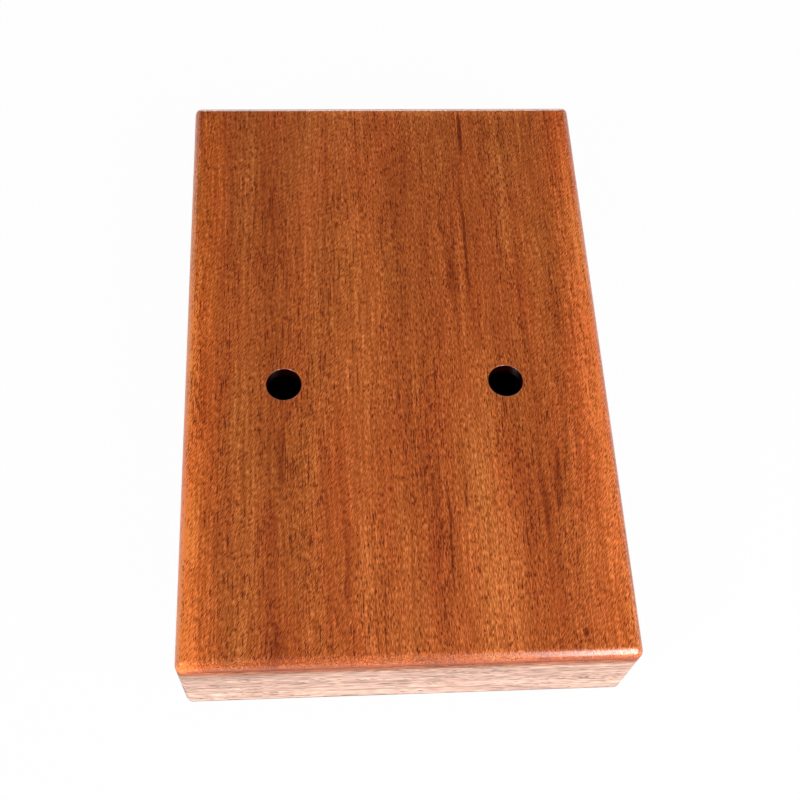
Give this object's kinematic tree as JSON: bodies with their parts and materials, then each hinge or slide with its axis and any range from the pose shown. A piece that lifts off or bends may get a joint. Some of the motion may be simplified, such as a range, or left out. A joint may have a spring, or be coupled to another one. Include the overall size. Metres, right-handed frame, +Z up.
{
  "type": "box kalimba",
  "caption": "Hollow box kalimba lying on its playing face: round-edged wooden sound box with fingertip holes in its back, and a bridge of sprung steel tines by a round sound hole.",
  "frame": {"origin": "on the surface that the kalimba lies on, under the middle of its sound box", "axes": "+Z up, out of the back board; +Y along the box to the head end, where the bridge is; +X to the right when the back is seen with the head end away from the viewer"},
  "size_m": [0.122, 0.185, 0.0495],
  "materials": {
    "mahogany": "orange-brown mahogany under satin lacquer",
    "pale_mahogany": "paler mahogany under a thin satin lacquer",
    "rosewood": "oiled dark hardwood",
    "brace_wood": "bare softwood",
    "spring_steel": "ground spring steel, polished at the tips",
    "bright_steel": "bright plated steel"
  },
  "bodies": {
    "box": {"back_board": "mahogany", "soundboard": "mahogany", "head_wall": "pale_mahogany", "tail_wall": "pale_mahogany", "left_wall": "pale_mahogany", "right_wall": "pale_mahogany", "bridge_brace": "brace_wood", "bridge_block": "rosewood", "saddle_rod": "bright_steel", "rear_rod": "bright_steel", "pressure_rod": "bright_steel", "bridge_screw_outer_left": "bright_steel", "bridge_screw_inner_left": "bright_steel", "bridge_screw_inner_right": "bright_steel", "bridge_screw_outer_right": "bright_steel"},
    "tine_d6": {"tine_d6": "spring_steel"},
    "tine_b5": {"tine_b5": "spring_steel"},
    "tine_g5": {"tine_g5": "spring_steel"},
    "tine_e5": {"tine_e5": "spring_steel"},
    "tine_c5": {"tine_c5": "spring_steel"},
    "tine_a4": {"tine_a4": "spring_steel"},
    "tine_f4": {"tine_f4": "spring_steel"},
    "tine_d4": {"tine_d4": "spring_steel"},
    "tine_c4": {"tine_c4": "spring_steel"},
    "tine_e4": {"tine_e4": "spring_steel"},
    "tine_g4": {"tine_g4": "spring_steel"},
    "tine_b4": {"tine_b4": "spring_steel"},
    "tine_d5": {"tine_d5": "spring_steel"},
    "tine_f5": {"tine_f5": "spring_steel"},
    "tine_a5": {"tine_a5": "spring_steel"},
    "tine_c6": {"tine_c6": "spring_steel"},
    "tine_e6": {"tine_e6": "spring_steel"}
  },
  "joints": [
    {"name": "tine_d6_pluck", "type": "hinge", "parent": "box", "child": "tine_d6", "pos_m": [0, 0.0425, 0.00896], "axis": [-1, 0, 0], "range_deg": [-1.2, 2.4], "stiffness_Nm_per_rad": 12.605},
    {"name": "tine_b5_pluck", "type": "hinge", "parent": "box", "child": "tine_b5", "pos_m": [0, 0.0425, 0.00896], "axis": [-1, 0, 0], "range_deg": [-1.2, 2.4], "stiffness_Nm_per_rad": 11.559},
    {"name": "tine_g5_pluck", "type": "hinge", "parent": "box", "child": "tine_g5", "pos_m": [0, 0.0425, 0.00896], "axis": [-1, 0, 0], "range_deg": [-1.2, 2.4], "stiffness_Nm_per_rad": 10.298},
    {"name": "tine_e5_pluck", "type": "hinge", "parent": "box", "child": "tine_e5", "pos_m": [0, 0.0425, 0.00896], "axis": [-1, 0, 0], "range_deg": [-1.2, 2.4], "stiffness_Nm_per_rad": 9.443},
    {"name": "tine_c5_pluck", "type": "hinge", "parent": "box", "child": "tine_c5", "pos_m": [0, 0.0425, 0.00896], "axis": [-1, 0, 0], "range_deg": [-1.2, 2.4], "stiffness_Nm_per_rad": 8.413},
    {"name": "tine_a4_pluck", "type": "hinge", "parent": "box", "child": "tine_a4", "pos_m": [0, 0.0425, 0.00896], "axis": [-1, 0, 0], "range_deg": [-1.2, 2.4], "stiffness_Nm_per_rad": 7.715},
    {"name": "tine_f4_pluck", "type": "hinge", "parent": "box", "child": "tine_f4", "pos_m": [0, 0.0425, 0.00896], "axis": [-1, 0, 0], "range_deg": [-1.2, 2.4], "stiffness_Nm_per_rad": 6.873},
    {"name": "tine_d4_pluck", "type": "hinge", "parent": "box", "child": "tine_d4", "pos_m": [0, 0.0425, 0.00896], "axis": [-1, 0, 0], "range_deg": [-1.2, 2.4], "stiffness_Nm_per_rad": 6.303},
    {"name": "tine_c4_pluck", "type": "hinge", "parent": "box", "child": "tine_c4", "pos_m": [0, 0.0425, 0.00896], "axis": [-1, 0, 0], "range_deg": [-1.2, 2.4], "stiffness_Nm_per_rad": 5.949},
    {"name": "tine_e4_pluck", "type": "hinge", "parent": "box", "child": "tine_e4", "pos_m": [0, 0.0425, 0.00896], "axis": [-1, 0, 0], "range_deg": [-1.2, 2.4], "stiffness_Nm_per_rad": 6.677},
    {"name": "tine_g4_pluck", "type": "hinge", "parent": "box", "child": "tine_g4", "pos_m": [0, 0.0425, 0.00896], "axis": [-1, 0, 0], "range_deg": [-1.2, 2.4], "stiffness_Nm_per_rad": 7.282},
    {"name": "tine_b4_pluck", "type": "hinge", "parent": "box", "child": "tine_b4", "pos_m": [0, 0.0425, 0.00896], "axis": [-1, 0, 0], "range_deg": [-1.2, 2.4], "stiffness_Nm_per_rad": 8.173},
    {"name": "tine_d5_pluck", "type": "hinge", "parent": "box", "child": "tine_d5", "pos_m": [0, 0.0425, 0.00896], "axis": [-1, 0, 0], "range_deg": [-1.2, 2.4], "stiffness_Nm_per_rad": 8.913},
    {"name": "tine_f5_pluck", "type": "hinge", "parent": "box", "child": "tine_f5", "pos_m": [0, 0.0425, 0.00896], "axis": [-1, 0, 0], "range_deg": [-1.2, 2.4], "stiffness_Nm_per_rad": 9.72},
    {"name": "tine_a5_pluck", "type": "hinge", "parent": "box", "child": "tine_a5", "pos_m": [0, 0.0425, 0.00896], "axis": [-1, 0, 0], "range_deg": [-1.2, 2.4], "stiffness_Nm_per_rad": 10.91},
    {"name": "tine_c6_pluck", "type": "hinge", "parent": "box", "child": "tine_c6", "pos_m": [0, 0.0425, 0.00896], "axis": [-1, 0, 0], "range_deg": [-1.2, 2.4], "stiffness_Nm_per_rad": 11.898},
    {"name": "tine_e6_pluck", "type": "hinge", "parent": "box", "child": "tine_e6", "pos_m": [0, 0.0425, 0.00896], "axis": [-1, 0, 0], "range_deg": [-1.2, 2.4], "stiffness_Nm_per_rad": 13.355}
  ]
}
